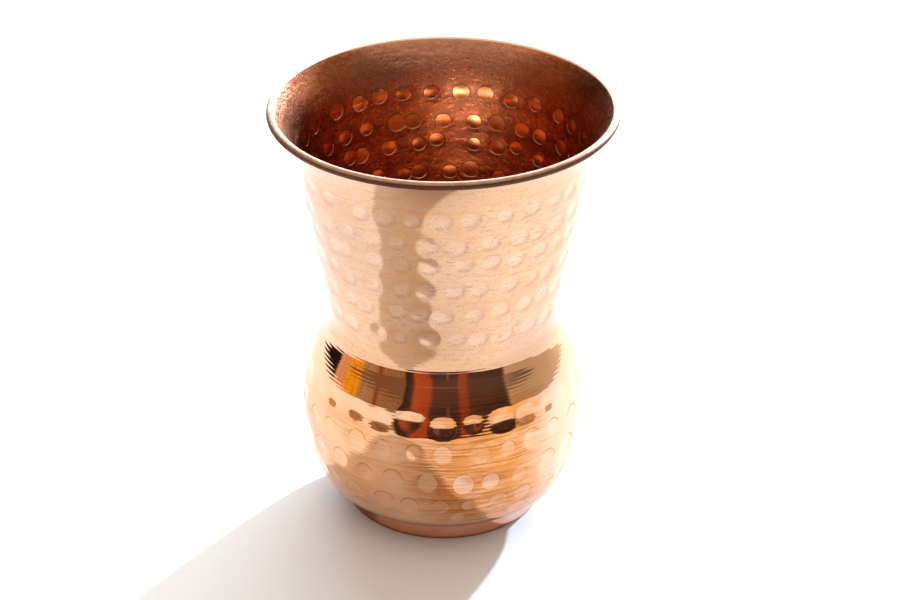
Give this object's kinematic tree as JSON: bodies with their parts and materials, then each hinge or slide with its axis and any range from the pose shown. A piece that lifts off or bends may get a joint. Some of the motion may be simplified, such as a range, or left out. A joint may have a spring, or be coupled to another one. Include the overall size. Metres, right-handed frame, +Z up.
{
  "type": "lota drinking pot",
  "caption": "Round-bellied hammered copper drinking pot with a narrow waist, a flared neck, a rolled lip and a brazed foot ring.",
  "frame": {"origin": "centre of the foot ring's underside, on the surface the pot stands on", "axes": "+Z up along the pot's turning axis; the pot is round, so X and Y are any two directions across it; -Y faces the viewer"},
  "size_m": [0.081, 0.081, 0.104],
  "materials": {
    "neck_copper": "hammered bright copper, fine pits and turning scratches outside, dark oxide-brown grain inside",
    "belly_copper": "hammered copper with a mirror-polished shoulder band and orange brush streaks",
    "foot_copper": "smooth red-brown copper, satin, darkened by the brazing heat",
    "braze_alloy": "brazing alloy, as flowed"
  },
  "bodies": {
    "root": {"neck_shell": "neck_copper", "belly_bowl": "belly_copper", "waist_braze": "braze_alloy", "foot_ring": "foot_copper", "foot_braze": "braze_alloy"}
  },
  "joints": []
}
